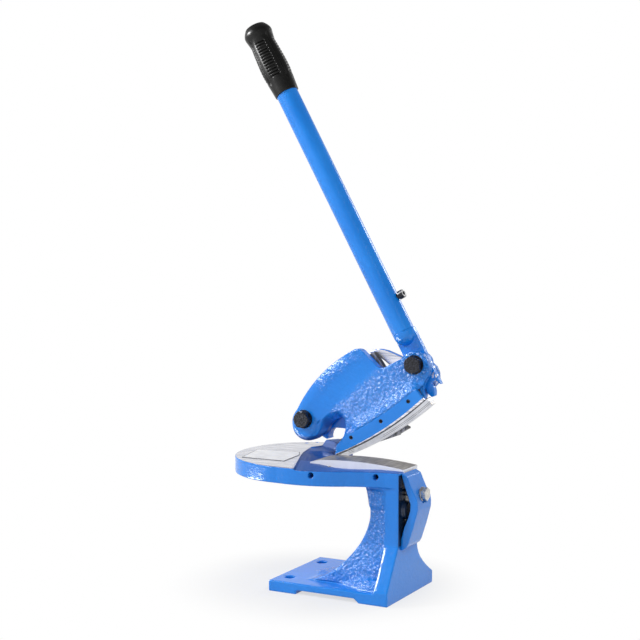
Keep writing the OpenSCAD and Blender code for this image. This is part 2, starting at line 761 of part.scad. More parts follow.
module lock_screw_place() {
    translate([lock_r, lever_y, 0]) rotate([180, 0, 0]) translate([0, 0, 4]) children();
}

module handle_tube() {
    color(casting) on_lever() difference() {
        translate([tube_start, lever_y, 0]) rotate([0, 90, 0]) cylinder(d = tube_d, h = tube_end - tube_start);
        translate([tube_start - 8, lever_y, 0]) rotate([0, 90, 0])
            cylinder(d = tube_d - 2 * tube_wall, h = tube_end);
        lock_screw_place() cylinder(d = 8.2, h = 40);
    }
}

module tube_lock_screw() {
    color(black) on_lever() lock_screw_place() difference() {
        union() {
            cylinder(d = 7.9, h = tube_d / 2 - 3 + lock_gap);
            translate([0, 0, tube_d / 2 - 4 + lock_gap]) cylinder(d = 13, h = 8);
        }
        translate([0, 0, tube_d / 2 + lock_gap]) cylinder(d = 6 / cos(30), h = 8, $fn = 6);
    }
}

// Ribbed grip, turned about the tube's axis
module handle_grip() {
    outline = [[0, 18.6], [7, 19.3], [16, 20], [24, 20.8], [32, 22], [40, 22.4], [50, 22.3], [58, 21.9],
        [74, 21.1], [88, 21.2], [98, 21.6], [106, 21.4], [112, 19.8], [117, 15.5]];
    scaled = [for (p = outline) [p[0] * grip_l / 117, p[1]]];
    color(black) on_lever() translate([grip_r0, lever_y, 0]) rotate([0, 90, 0]) difference() {
        rotate_extrude($fn = 72) polygon(concat([for (p = scaled) [p[1], p[0]]], [[0, grip_l], [0, 0]]));
        translate([0, 0, -1]) cylinder(d = tube_d, h = tube_end - grip_r0 + 1);
        for (i = [0:12]) let (z = 28.5 + 4.8 * i)
            translate([0, 0, z]) rotate_extrude() translate([lookup(z, scaled) + 0.5, 0]) circle(d = 2.6);
    }
}

frame();
label_plate();
lower_blade();
lower_blade_set_screws();
blade_clamp();
clamp_bolt();
clamp_washer();
toothed_segment();
segment_screws();
segment_dowels();
main_pivot_bolt();
main_pivot_washer();
main_pivot_nut();
main_pivot_bush();
upper_arm();
upper_blade();
upper_blade_set_screws();
lever_pivot_bolt();
lever_pivot_washer();
lever_pivot_bush();
lever_gear();
handle_tube();
handle_grip();
tube_lock_screw();
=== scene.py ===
import math

import bmesh
import bpy
import numpy as np
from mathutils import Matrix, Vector


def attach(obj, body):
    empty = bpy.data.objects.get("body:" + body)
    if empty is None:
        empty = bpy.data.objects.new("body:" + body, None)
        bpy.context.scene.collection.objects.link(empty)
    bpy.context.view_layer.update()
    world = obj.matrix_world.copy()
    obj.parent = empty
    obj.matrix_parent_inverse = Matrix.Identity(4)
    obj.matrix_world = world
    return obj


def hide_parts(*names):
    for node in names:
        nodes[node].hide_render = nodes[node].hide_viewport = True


MM = 0.001
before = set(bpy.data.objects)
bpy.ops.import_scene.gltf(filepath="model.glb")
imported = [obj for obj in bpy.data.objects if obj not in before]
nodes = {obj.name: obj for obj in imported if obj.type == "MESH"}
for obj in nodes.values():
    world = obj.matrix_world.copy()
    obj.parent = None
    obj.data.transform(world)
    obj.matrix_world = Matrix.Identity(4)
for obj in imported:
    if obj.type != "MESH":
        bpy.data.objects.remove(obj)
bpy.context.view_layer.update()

# Sizes and places repeated from the part's source, in millimetres; the two pivots are in X and Z
MAIN_PIVOT = np.array([-21.7, 236.8])
ARM_SLOPE = math.radians(26.55)
PIVOT_SPAN = 204.0
LEVER_PIVOT = MAIN_PIVOT + PIVOT_SPAN * np.array([math.cos(ARM_SLOPE), math.sin(ARM_SLOPE)])
LEVER_LEAN = math.radians(118.8)
LEVER_Y = 49.0
TUBE_D, TUBE_END, TUBE_GAP = 33.7, 562.0, 0.05
GRIP_L, GRIP_PAST_TUBE = 117.0, 12.0
GRIP_R0 = TUBE_END + GRIP_PAST_TUBE - GRIP_L
TUBE_HOLE_R, TUBE_HOLE_L = TUBE_D / 2 + TUBE_GAP, TUBE_END - GRIP_R0
FLANGE_Y0 = 24.3
WEB_Y0 = 33.0

# Arcs of the arm in the part's source, in the arm's axes: along the line of the pivots, and square to it
SEAT_C, SEAT_R = np.array([66.6, 427.7]), 498.6
EDGE_C, EDGE_R = np.array([81.2, 418.7]), 498.0
CREST_C, CREST_R = np.array([41.9, 602.0]), 651.4
HUMP_C, HUMP_R = np.array([121.9, -159.4]), 219.5
LOBE_C = np.array([-2.2, -6.7])
# Circle round the arm's hook, in which its skin is evened out
HOOK_C, HOOK_R = np.array([40.0, -22.0]), 42.0
# The S-shaped edge of the web above the hook, and the corners that close it round the hook's face
COVE_EDGE = np.array([[3, -19], [13, -15.4], [22, -12.6], [33, -8.4], [42, -6], [50, -5.5], [58, -7.5],
                      [64.5, -12], [68, -18], [69, -27], [66, -35], [62, -41.5], [57, -47], [48, -53]])
HOOK_FACE = np.vstack([COVE_EDGE, [[30, -62], [0, -45]]])

# Corners of the name plate, in X and Y
PLATE = np.array([[-87, -40], [-15, -40], [-21, 18], [-34, 41], [-103, 31]])

# Distance from the lower end of the grip, and radius there
GRIP_OUTLINE = np.array([[0, 18.6], [7, 19.3], [16, 20], [24, 20.8], [32, 22], [40, 22.4], [50, 22.3],
                         [58, 21.9], [74, 20.9], [86, 19.9], [93, 20.1], [99, 21.3], [105, 22.4],
                         [108, 21.6], [112, 19.6], [116, 16.9], [117, 15.2]])

# Camera fitted to the photo: place in millimetres, turn and pitch in degrees, lens in pixels
CAMERA_PLACE = (953.9, -1730.4, 519.9)
CAMERA_TURN, CAMERA_PITCH = 28.27, 3.77
FOCAL_PX, PHOTO_PX = 1340, 640
SENSOR_MM = 36.0


def srgb(r, g, b):
    """An 8-bit screen colour as a linear one."""
    def lin(c):
        c /= 255
        return c / 12.92 if c <= 0.04045 else ((c + 0.055) / 1.055) ** 2.4
    return (lin(r), lin(g), lin(b), 1.0)


WHITE = (1.0, 1.0, 1.0, 1.0)
PAINT = (0.004, 0.212, 0.76, 1.0)
# PAINT_DEEP darkens random dips in the sand texture, and is also the colour of painted shade in low and
# downward-facing places.
PAINT_DEEP = (0.002, 0.105, 0.46, 1.0)
PAINT_PALE = (0.010, 0.245, 0.82, 1.0)
PAINT_IOR = 1.5
# Near-black painted shade, for gaps and faces under parts.
PAINTED_SHADE_BLACK = (0.006, 0.010, 0.022, 1.0)
BARE = srgb(250, 249, 254)
BARE_DARK = srgb(184, 187, 198)
# Depth of fine grinding lines, in metres
GRIND_DEPTH = 0.00003


# Shader helpers

class Tree:
    """Short way to write a node tree. A value is a number, a colour or another node's output."""

    def __init__(self, tree):
        self.tree = tree

    def add(self, kind, **inputs):
        node = self.tree.nodes.new(kind)
        for key, value in inputs.items():
            self.put(node.inputs[key.replace("_", " ")], value)
        return node

    def put(self, socket, value):
        if isinstance(value, bpy.types.NodeSocket):
            self.tree.links.new(value, socket)
        else:
            socket.default_value = value

    def math(self, operation, *values):
        node = self.tree.nodes.new("ShaderNodeMath")
        node.operation = operation
        for i, value in enumerate(values):
            self.put(node.inputs[i], value)
        return node.outputs[0]

    def times(self, a, b):
        return self.math("MULTIPLY", a, b)

    def plus(self, a, b):
        return self.math("ADD", a, b)

    def minus(self, a, b):
        return self.math("SUBTRACT", a, b)

    def length(self, a, b):
        return self.math("SQRT", self.plus(self.times(a, a), self.times(b, b)))

    def all_of(self, *masks):
        out = masks[0]
        for mask in masks[1:]:
            out = self.times(out, mask)
        return out

    def any_of(self, *masks):
        out = masks[0]
        for mask in masks[1:]:
            out = self.math("MAXIMUM", out, mask)
        return out

    def step(self, value, low, high):
        """0 below low, 1 above high, smooth between; the other way round where low is above high."""
        node = self.add("ShaderNodeMapRange", Value=value, From_Min=min(low, high), From_Max=max(low, high),
                        To_Min=0.0 if low < high else 1.0, To_Max=1.0 if low < high else 0.0)
        node.interpolation_type = "SMOOTHSTEP"
        return node.outputs["Result"]

    def band(self, value, start, end):
        """1 between two soft limits, each a pair of values: where the mask is 0, and where it is 1."""
        return self.times(self.step(value, *start), self.step(value, *end))

    def blend(self, fac, a, b):
        """A number from a to b."""
        node = self.tree.nodes.new("ShaderNodeMix")
        for socket, value in zip((0, 2, 3), (fac, a, b)):
            self.put(node.inputs[socket], value)
        return node.outputs[0]

    def mix(self, fac, a, b):
        """A colour from a to b."""
        node = self.tree.nodes.new("ShaderNodeMix")
        node.data_type = "RGBA"
        for socket, value in zip((0, 6, 7), (fac, a, b)):
            self.put(node.inputs[socket], value)
        return node.outputs[2]

    def turn(self, fac, a, b):
        """A normal from a to b."""
        node = self.tree.nodes.new("ShaderNodeMix")
        node.data_type = "VECTOR"
        for socket, value in zip((0, 4, 5), (fac, a, b)):
            self.put(node.inputs[socket], value)
        return node.outputs[1]


class Nodes(Tree):
    """A new material. x, y, z are the place in the piece's axes, in metres, and nx, ny, nz the facing."""

    def __init__(self, name):
        self.mat = bpy.data.materials.new(name)
        self.mat.use_nodes = True
        super().__init__(self.mat.node_tree)
        self.bsdf = self.tree.nodes["Principled BSDF"]
        self.coord = self.add("ShaderNodeTexCoord").outputs["Object"]
        self.x, self.y, self.z = self.add("ShaderNodeSeparateXYZ", Vector=self.coord).outputs
        geometry = self.add("ShaderNodeNewGeometry")
        local = self.add("ShaderNodeVectorTransform", Vector=geometry.outputs["Normal"])
        local.vector_type, local.convert_from, local.convert_to = "NORMAL", "WORLD", "OBJECT"
        self.nx, self.ny, self.nz = self.add("ShaderNodeSeparateXYZ", Vector=local.outputs["Vector"]).outputs

    def noise(self, scale, detail=3.0, rough=0.5, stretch=None):
        vector = self.coord
        if stretch:
            vector = self.add("ShaderNodeMapping", Vector=self.coord, Scale=stretch).outputs[0]
        node = self.add("ShaderNodeTexNoise", Vector=vector, Scale=scale, Detail=detail, Roughness=rough)
        return node.outputs["Fac"]

    def cells(self, scale, smooth):
        node = self.add("ShaderNodeTexVoronoi", Vector=self.coord, Scale=scale)
        node.feature = "SMOOTH_F1"
        node.inputs["Smoothness"].default_value = smooth
        return node.outputs["Distance"]

    def bump(self, height, distance, under=None):
        node = self.add("ShaderNodeBump", Height=height, Distance=distance, Strength=1.0)
        if under is not None:
            self.put(node.inputs["Normal"], under)
        return node.outputs["Normal"]

    def wave(self, scale, size):
        """Uneven shift of a mask's edge, of about size metres in all."""
        return self.times(self.minus(self.noise(scale), 0.5), size)

    def finish(self, **sockets):
        for key, value in sockets.items():
            self.put(self.bsdf.inputs[key.replace("_", " ")], value)
        return self.mat


def axes_at(n, pivot, angle):
    """The place in axes that start at a pivot and lean by an angle in the plane of X and Z, in metres."""
    dx, dz = n.minus(n.x, pivot[0] * MM), n.minus(n.z, pivot[1] * MM)
    c, s = math.cos(angle), math.sin(angle)
    return n.plus(n.times(dx, c), n.times(dz, s)), n.minus(n.times(dz, c), n.times(dx, s))


def radius_from(n, u, v, centre):
    return n.length(n.minus(u, centre[0] * MM), n.minus(v, centre[1] * MM))


# Painted castings

def paint_layers(n, rough_cast, bare, painted_shade=0.0, painted_black_shade=0.0):
    """Glossy enamel over a casting: rough_cast says where the sand texture shows and bare where the metal is
    machined; the fourth mask paints shade as a darker, rougher blue, and the fifth paints shade as
    near-black, in gaps and under parts."""
    lump_depth, skin_depth, grind_depth = 0.0026, 0.0003, 0.00004
    tone = n.mix(n.step(n.noise(9, 4), 0.35, 0.65), PAINT, PAINT_PALE)
    dips = n.step(n.noise(240), 0.55, 0.38)
    tone = n.mix(n.times(dips, n.times(rough_cast, 0.35)), tone, PAINT_DEEP)
    # Painted shade: darker blue where the fourth mask is set, near-black where the fifth is.
    tone = n.mix(painted_shade, tone, PAINT_DEEP)
    tone = n.mix(painted_black_shade, tone, PAINTED_SHADE_BLACK)
    grind = n.noise(420, stretch=(0.06, 1.0, 1.0))
    metal = n.mix(n.step(grind, 0.3, 0.7), BARE, BARE_DARK)
    sand = n.plus(n.noise(235, 3, 0.6), n.times(n.cells(210, 0.3), 0.5))
    lumps = n.bump(n.times(sand, rough_cast), lump_depth)
    skin = n.bump(n.noise(190), skin_depth, lumps)
    lines = n.bump(grind, grind_depth)
    gloss = n.blend(painted_shade, n.blend(n.noise(40, 2), 0.14, 0.22), 0.48)
    return n.finish(Base_Color=n.mix(bare, tone, metal), Metallic=n.times(bare, 0.75),
                    Roughness=n.blend(bare, gloss, 0.27), Normal=n.turn(bare, skin, lines), IOR=PAINT_IOR)


def frame_material():
    """Sand-cast column, neck and underside, bare table and foot; painted shade as darker blue on the low
    places near the throat, near-black on the column behind the strap and, lighter, on the left of the low
    places.
    """
    # Soft limits, in metres or of the facing: a mask is 0 at the first number of a pair and 1 at the second
    column_x = (0.016, 0.022), (0.152, 0.146)
    column_z = (0.0165, 0.019), (0.158, 0.152)
    neck_y0, neck_z0 = (0.060, 0.066), (0.188, 0.196)
    underside_z0, foot_z1 = (0.15, 0.155), (0.0006, 0.0004)
    ledge_x0, ledge_z = (-0.045, -0.03), ((0.176, 0.178), (0.1832, 0.1828))
    table_z0, table_z1 = (0.18320, 0.18335), (0.18460, 0.18445)
    low_x0, low_x1 = (-0.045, -0.035), (0.075, 0.045)
    low_z = (0.162, 0.166), (0.2050, 0.1950)
    strap_x0, strap_z = (0.1706, 0.1708), ((0.073, 0.080), (0.1795, 0.178))
    table_up, ledge_up, low_up = (0.90, 0.94), (0.3, 0.6), (0.25, 0.50)
    underside_down, foot_down = (-0.8, -0.95), (-0.9, -0.95)
    # How rough each place is, and how much near-black painted shade it takes, from 0 to 1
    neck_rough, ledge_rough, rough_share, least_rough = 0.8, 0.5, 0.9, 0.06
    strap_shade_black, low_shade_black = 0.95, 0.28
    n = Nodes("frame_enamel")
    column = n.times(n.band(n.x, *column_x), n.band(n.z, *column_z))
    neck = n.times(n.step(n.y, *neck_y0), n.step(n.z, *neck_z0))
    underside = n.times(n.step(n.nz, *underside_down), n.step(n.z, *underside_z0))
    ledge = n.all_of(n.band(n.z, *ledge_z), n.step(n.nz, *ledge_up), n.step(n.x, *ledge_x0))
    rough = n.any_of(column, n.times(neck, neck_rough), underside, n.times(ledge, ledge_rough))
    rough = n.plus(n.times(rough, rough_share), least_rough)
    wavy_z = n.plus(n.z, n.wave(120, 0.0012))
    table = n.all_of(n.step(wavy_z, *table_z0), n.step(n.z, *table_z1), n.step(n.nz, *table_up))
    foot = n.times(n.step(n.z, *foot_z1), n.step(n.nz, *foot_down))
    # Painted shade: the table's painted top near the throat and the neck's root are coloured darker blue,
    # and rougher.
    low = n.all_of(n.band(n.z, *low_z), n.step(n.nz, *low_up), n.step(n.x, *low_x0))
    # Painted shade: the column's face behind the strap is near-black.
    behind_strap = n.times(n.step(n.x, *strap_x0), n.band(n.z, *strap_z))
    # Painted shade: the left of the low places is darkened further, towards near-black.
    left_low = n.times(low, n.step(n.x, *low_x1))
    painted_black_shade = n.any_of(n.times(behind_strap, strap_shade_black), n.times(left_low, low_shade_black))
    return paint_layers(n, rough, n.any_of(table, foot), low, painted_black_shade)


def clamp_material():
    """As the frame's enamel, with painted shade, near-black, on the strap's side that faces the column."""
    rough, hidden_shade_black, facing_left = 0.12, 0.9, (-0.35, -0.7)
    n = Nodes("clamp_enamel")
    hidden = n.step(n.nx, *facing_left)
    return paint_layers(n, rough, 0.0, 0.0, n.times(hidden, hidden_shade_black))


def arm_material():
    """Rough web below a slanting line, a smoother hump above it, bare metal at the machined faces, and
    painted shade under the hook.
    """
    # The line that ends the rough web: a place on it in the arm's axes, in metres, and its slope
    line_u, line_v, line_slope = 0.064, -0.0055, 0.23
    # Soft limits, as in the frame's material
    below_fade, rim_r = (-0.016, 0.010), ((HUMP_R - 26) * MM, (HUMP_R - 12) * MM)
    web_u0, web_y0, front_y0 = (0.030, 0.055), (0.0238, 0.0262), (0.0242, 0.0248)
    strip_fade, strip_y1 = (0.0, 0.0002), (0.0300, 0.0295)
    cheek_y, cheek_front = ((0.0582, 0.0584), (0.0592, 0.0590)), (-0.85, -0.95)
    hook_u1, hook_down = (0.045, 0.030), (-0.15, -0.60)
    # The bare strip along the blade's seat grows wider to the right
    strip_u0, strip_w0, strip_growth = 0.031, 0.0014, 0.0165
    rim_rough, web_rough, least_rough = 0.5, 0.86, 0.10
    hook_shade, hook_shade_black = 0.9, 0.25
    n = Nodes("arm_enamel")
    u, v = axes_at(n, MAIN_PIVOT, ARM_SLOPE)
    below_line = n.minus(n.times(n.minus(u, line_u), line_slope), n.minus(v, line_v))
    rim = n.step(radius_from(n, u, v, HUMP_C), *rim_r)
    web = n.all_of(n.any_of(n.step(below_line, *below_fade), n.times(rim, rim_rough)),
                   n.step(u, *web_u0), n.step(n.y, *web_y0))
    rough = n.plus(n.times(web, web_rough), least_rough)
    rough = n.times(rough, n.step(n.y, *front_y0))
    strip_w = n.plus(strip_w0, n.times(n.minus(u, strip_u0), strip_growth))
    past_strip = n.minus(n.plus(radius_from(n, u, v, SEAT_C), strip_w), SEAT_R * MM)
    strip = n.times(n.step(n.plus(past_strip, n.wave(60, 0.0008)), *strip_fade), n.step(n.y, *strip_y1))
    inner_cheek = n.times(n.band(n.y, *cheek_y), n.step(n.ny, *cheek_front))
    # Painted shade: the hook's downward faces are coloured darker blue and partly near-black.
    under_hook = n.times(n.step(u, *hook_u1), n.step(n.nz, *hook_down))
    return paint_layers(n, rough, n.any_of(strip, inner_cheek), n.times(under_hook, hook_shade),
                        n.times(under_hook, hook_shade_black))


def lever_material():
    """Enamel, a little rough on the flat plate, that has partly worn off the teeth."""
    # Soft limits from the lever's pivot, along the lever and across it, in metres
    plate_along = (0.004, 0.010), (0.046, 0.040)
    teeth_along, teeth_across = (0.0, -0.004), (-0.004, -0.008)
    plate_rough, least_rough = 0.35, 0.05
    n = Nodes("lever_enamel")
    along, across = axes_at(n, LEVER_PIVOT, LEVER_LEAN)
    plate = n.band(along, *plate_along)
    teeth = n.times(n.step(along, *teeth_along), n.step(across, *teeth_across))
    worn = n.times(teeth, n.step(n.noise(180), 0.55, 0.62))
    return paint_layers(n, n.plus(n.times(plate, plate_rough), least_rough), worn)


def tube_material():
    n = Nodes("tube_enamel")
    tone = n.mix(n.step(n.noise(14, 4), 0.35, 0.65), PAINT, PAINT_PALE)
    return n.finish(Base_Color=tone, Roughness=n.blend(n.noise(50, 2), 0.16, 0.24),
                    Normal=n.bump(n.noise(260, 2), 0.00012), IOR=PAINT_IOR)


# Bare and blackened metal, rubber and the plate

def ground_steel(name, light, dark, stretch, rough=(0.22, 0.36)):
    """Metal with fine grinding lines; stretch draws them out along an axis."""
    n = Nodes(name)
    lines = n.noise(500, stretch=stretch)
    tone = n.mix(n.step(lines, 0.35, 0.65), light, dark)
    tone = n.mix(n.times(n.step(n.noise(22, 4), 0.5, 0.75), 0.35), tone, dark)
    return n.finish(Base_Color=tone, Metallic=0.9, Roughness=n.blend(lines, *rough),
                    Normal=n.bump(lines, GRIND_DEPTH))


def upper_blade_steel():
    """Ground faces, nearly white, with the joint to the arm and two ground lines along the cutting edge."""
    # Distances from the cutting edge and widths of the ground lines, in metres
    line_places, line_w, line_fade_in, line_fade_out = (0.0026, 0.0047), 0.0004, 0.0002, 0.0003
    # Soft limits from the seat, and along the arm
    joint, end_u = (-0.0018, -0.0013), (0.2062, 0.2070)
    n = Nodes("upper_blade_steel")
    u, v = axes_at(n, MAIN_PIVOT, ARM_SLOPE)
    cloud = n.noise(30, 4)
    tone = n.mix(n.step(cloud, 0.35, 0.75), srgb(214, 216, 222), srgb(186, 189, 196))
    from_seat = n.minus(SEAT_R * MM, radius_from(n, u, v, SEAT_C))
    from_edge = n.minus(EDGE_R * MM, radius_from(n, u, v, EDGE_C))
    lines = [n.band(from_edge, (at - line_fade_in, at), (at + line_w + line_fade_out, at + line_w))
             for at in line_places]
    worn = n.step(n.noise(55), 0.38, 0.5)
    tone = n.mix(n.times(n.any_of(*lines), n.times(worn, 0.85)), tone, srgb(52, 54, 62))
    tone = n.mix(n.times(n.step(from_seat, *joint), 0.9), tone, srgb(30, 34, 44))
    end_face = n.times(n.step(u, *end_u), n.step(n.noise(200), 0.3, 0.7))
    tone = n.mix(end_face, tone, srgb(196, 186, 172))
    return n.finish(Base_Color=tone, Metallic=0.35, Roughness=n.blend(cloud, 0.26, 0.36),
                    Normal=n.bump(n.noise(700, stretch=(0.05, 1.0, 0.4)), GRIND_DEPTH))


def lower_blade_steel():
    """Warm grey top with grinding lines across it, and a near-white front whose brightness is a painted
    reflection on the same ground steel.
    """
    n = Nodes("lower_blade_steel")
    lines = n.noise(520, stretch=(1.0, 0.07, 1.0))
    cloud = n.noise(26, 4)
    top = n.mix(n.step(lines, 0.3, 0.7), srgb(168, 162, 158), srgb(120, 116, 114))
    top = n.mix(n.times(n.step(cloud, 0.45, 0.75), 0.5), top, srgb(104, 100, 100))
    # Painted reflection: the front faces are coloured near-white, brighter than the top's steel.
    front = n.mix(n.step(cloud, 0.4, 0.8), srgb(250, 250, 252), srgb(216, 218, 226))
    faces_up = n.step(n.nz, 0.35, 0.6)
    return n.finish(Base_Color=n.mix(faces_up, front, top), Metallic=n.blend(faces_up, 0.15, 0.65),
                    Roughness=n.blend(lines, 0.30, 0.46), Normal=n.bump(lines, GRIND_DEPTH))


def gear_steel():
    """Turned faces, with the rims and tooth flanks coloured near-black."""
    n = Nodes("gear_steel")
    lines = n.noise(300, stretch=(1.0, 0.05, 0.25))
    tone = n.mix(n.step(lines, 0.35, 0.65), srgb(206, 205, 208), srgb(128, 127, 128))
    rim = n.step(n.math("ABSOLUTE", n.ny), 0.75, 0.5)
    tone = n.mix(n.times(rim, 0.95), tone, srgb(16, 17, 20))
    return n.finish(Base_Color=tone, Metallic=n.blend(rim, 0.6, 0.0), Roughness=n.blend(lines, 0.28, 0.44),
                    Normal=n.bump(lines, 0.00005))


def black_oxide():
    n = Nodes("black_oxide")
    spots = n.noise(420, 4)
    tone = n.mix(n.step(spots, 0.42, 0.62), srgb(7, 10, 20), srgb(30, 34, 48))
    return n.finish(Base_Color=tone, Metallic=0.2, Roughness=n.blend(n.step(spots, 0.4, 0.6), 0.22, 0.42),
                    Normal=n.bump(spots, 0.00035))


def grip_rubber():
    n = Nodes("grip_rubber")
    dust = n.noise(380)
    tone = n.mix(n.step(dust, 0.4, 0.8), srgb(7, 7, 7), srgb(20, 20, 18))
    return n.finish(Base_Color=tone, Roughness=n.blend(dust, 0.26, 0.38), Normal=n.bump(dust, 0.00008),
                    IOR=1.36)


def plate_material():
    """Satin plate with a thin dark border; nothing is written on it."""
    border = 0.0013, 0.0008
    n = Nodes("bare_plate")
    tone = n.mix(n.step(n.noise(60, 4), 0.35, 0.7), srgb(246, 246, 248), srgb(228, 229, 233))
    to_sides = []
    for (x0, y0), (x1, y1) in zip(PLATE, np.roll(PLATE, -1, axis=0)):
        length = math.hypot(x1 - x0, y1 - y0)
        a, b = (y0 - y1) / length, (x1 - x0) / length
        to_sides.append(n.plus(n.plus(n.times(n.x, a), n.times(n.y, b)), -(a * x0 + b * y0) * MM))
    to_edge = to_sides[0]
    for side in to_sides[1:]:
        to_edge = n.math("MINIMUM", to_edge, side)
    tone = n.mix(n.step(to_edge, *border), tone, srgb(70, 72, 80))
    return n.finish(Base_Color=tone, Metallic=0.35, Roughness=0.32,
                    Normal=n.bump(n.noise(600, 2, stretch=(1, 0.1, 1)), GRIND_DEPTH))


# Mesh helpers

def new_object(name, data):
    obj = bpy.data.objects.new(name, data)
    bpy.context.scene.collection.objects.link(obj)
    return obj


def apply_modifiers(obj):
    graph = bpy.context.evaluated_depsgraph_get()
    mesh = bpy.data.meshes.new_from_object(obj.evaluated_get(graph))
    old = obj.data
    obj.modifiers.clear()
    obj.data = mesh
    bpy.data.meshes.remove(old)
    obj.data.name = obj.name


def points_of(mesh):
    co = np.zeros(len(mesh.vertices) * 3, np.float32)
    mesh.vertices.foreach_get("co", co)
    return co.reshape(-1, 3).astype(float)


def set_points(mesh, co):
    mesh.vertices.foreach_set("co", co.astype(np.float32).ravel())
    mesh.update()


def edit_mesh(mesh, change):
    bm = bmesh.new()
    bm.from_mesh(mesh)
    change(bm)
    bm.to_mesh(mesh)
    bm.free()


def cast_skin(node, name, voxel, rounds, shape=None):
    """The CAD casting as one closed skin of even faces, its edges worn round. A voxel is in millimetres."""
    weld_gap, smooth_share = 1e-6, 0.5
    obj = new_object(name, nodes[node].data.copy())
    obj.data.materials.clear()
    edit_mesh(obj.data, lambda bm: bmesh.ops.remove_doubles(bm, verts=bm.verts, dist=weld_gap))
    remesh = obj.modifiers.new("skin", "REMESH")
    remesh.mode, remesh.voxel_size, remesh.use_smooth_shade = "VOXEL", voxel * MM, True
    smooth = obj.modifiers.new("round", "SMOOTH")
    smooth.factor, smooth.iterations = smooth_share, rounds
    apply_modifiers(obj)
    if shape:
        set_points(obj.data, shape(points_of(obj.data), obj.data))
    for p in obj.data.polygons:
        p.use_smooth = True
    return obj


def smoothstep(value, low, high):
    t = np.clip((value - low) / (high - low), 0, 1)
    return t * t * (3 - 2 * t)


def band(value, start, end):
    """1 between two soft limits, each a pair of values: where the share is 0, and where it is 1."""
    return smoothstep(value, *start) * smoothstep(value, *end)


def inside(points, u, v):
    """Which places lie inside a closed outline."""
    hit = np.zeros(len(u), bool)
    for (u0, v0), (u1, v1) in zip(points, np.roll(points, -1, axis=0)):
        if v0 != v1:
            hit ^= ((v0 > v) != (v1 > v)) & (u < (u1 - u0) * (v - v0) / (v1 - v0) + u0)
    return hit


def distance_to(points, u, v):
    """Distance of each place from an open line of points."""
    best = np.full(len(u), 1e9)
    for a, b in zip(points[:-1], points[1:]):
        d = b - a
        t = np.clip(((u - a[0]) * d[0] + (v - a[1]) * d[1]) / d.dot(d), 0, 1)
        best = np.minimum(best, np.hypot(u - a[0] - t * d[0], v - a[1] - t * d[1]))
    return best


def soften(mesh, co, share, rounds, rate=0.6):
    """Evens out the skin where share is above 0."""
    ends = np.zeros(len(mesh.edges) * 2, np.int32)
    mesh.edges.foreach_get("vertices", ends)
    a, b = ends.reshape(-1, 2).T
    near = share[a] + share[b] > 0
    a, b = a[near], b[near]
    count = np.bincount(a, minlength=len(co)) + np.bincount(b, minlength=len(co))
    mask = (share * (count > 0))[:, None]
    count = np.maximum(count, 1)
    for _ in range(rounds):
        sums = [np.bincount(a, co[b, k], len(co)) + np.bincount(b, co[a, k], len(co)) for k in range(3)]
        co = co + mask * rate * (np.stack(sums, 1) / count[:, None] - co)
    return co


def frame_shape(co, mesh):
    """The web runs out softly into the foot, the rib and the head, as a casting's fillets do."""
    web_x, web_mid_y, web_w = ((20, 30), (158, 152)), -10, 144
    foot_z, above_foot_z = ((16.6, 18), (60, 44)), ((40, 60), (158, 150))
    valley_low, valley_high, valley_top = (-30, -10, 160), (60, 90, 183.2), (182.2, 181.0)
    valley_share, rounds = 0.8, 14
    places = co / MM
    x, y, z = places.T
    web = band(x, *web_x) * (np.abs(y - web_mid_y) < web_w / 2)
    share = web * np.maximum(band(z, *foot_z), band(z, *above_foot_z))
    valley = np.all((places > valley_low) & (places < valley_high), axis=1)
    share = np.maximum(share, valley * valley_share * smoothstep(z, *valley_top))
    return soften(mesh, co, share, rounds)


def arm_frame(co):
    """Points in the arm's own axes, in millimetres: along the line of the pivots, and square to it."""
    dx, dz = co[:, 0] / MM - MAIN_PIVOT[0], co[:, 2] / MM - MAIN_PIVOT[1]
    c, s = math.cos(ARM_SLOPE), math.sin(ARM_SLOPE)
    return dx * c + dz * s, dz * c - dx * s


def sweep_lift(u, v):
    """How far the web comes forward above the flange's crest."""
    most, reach, below, ends = 8.3, 24, 1.2, ((66, 80), (199, 184))
    above = CREST_R - np.hypot(u - CREST_C[0], v - CREST_C[1])
    lift = most * np.clip(1 - above / reach, 0, 1) ** 2
    lift = np.where(above < 0, most * np.clip(1 + above / below, 0, 1), lift)
    return lift * band(u, *ends)


def hump_fall(u, v):
    """How far the web falls back at the edge of the hump."""
    most, reach, right_end = 3.2, 17, (112, 100)
    depth = HUMP_R - np.hypot(u - HUMP_C[0], v - HUMP_C[1])
    return most * np.clip(1 - depth / reach, 0, 1) ** 2 * smoothstep(u, *right_end)


def hook_slide(u, v):
    """How far the hook's face falls back from the S-shaped edge of the web, which stands proud as a rim."""
    most, reach, power = 10.5, 12.5, 2.4
    rim, rim_fade, lobe_fade = 1.5, (9, 1), (25, 32)
    off = distance_to(COVE_EDGE, u, v)
    slide = most * np.clip(off / reach, 0, 1) ** power - rim * smoothstep(off, *rim_fade)
    return slide * smoothstep(np.hypot(u - LOBE_C[0], v - LOBE_C[1]), *lobe_fade)


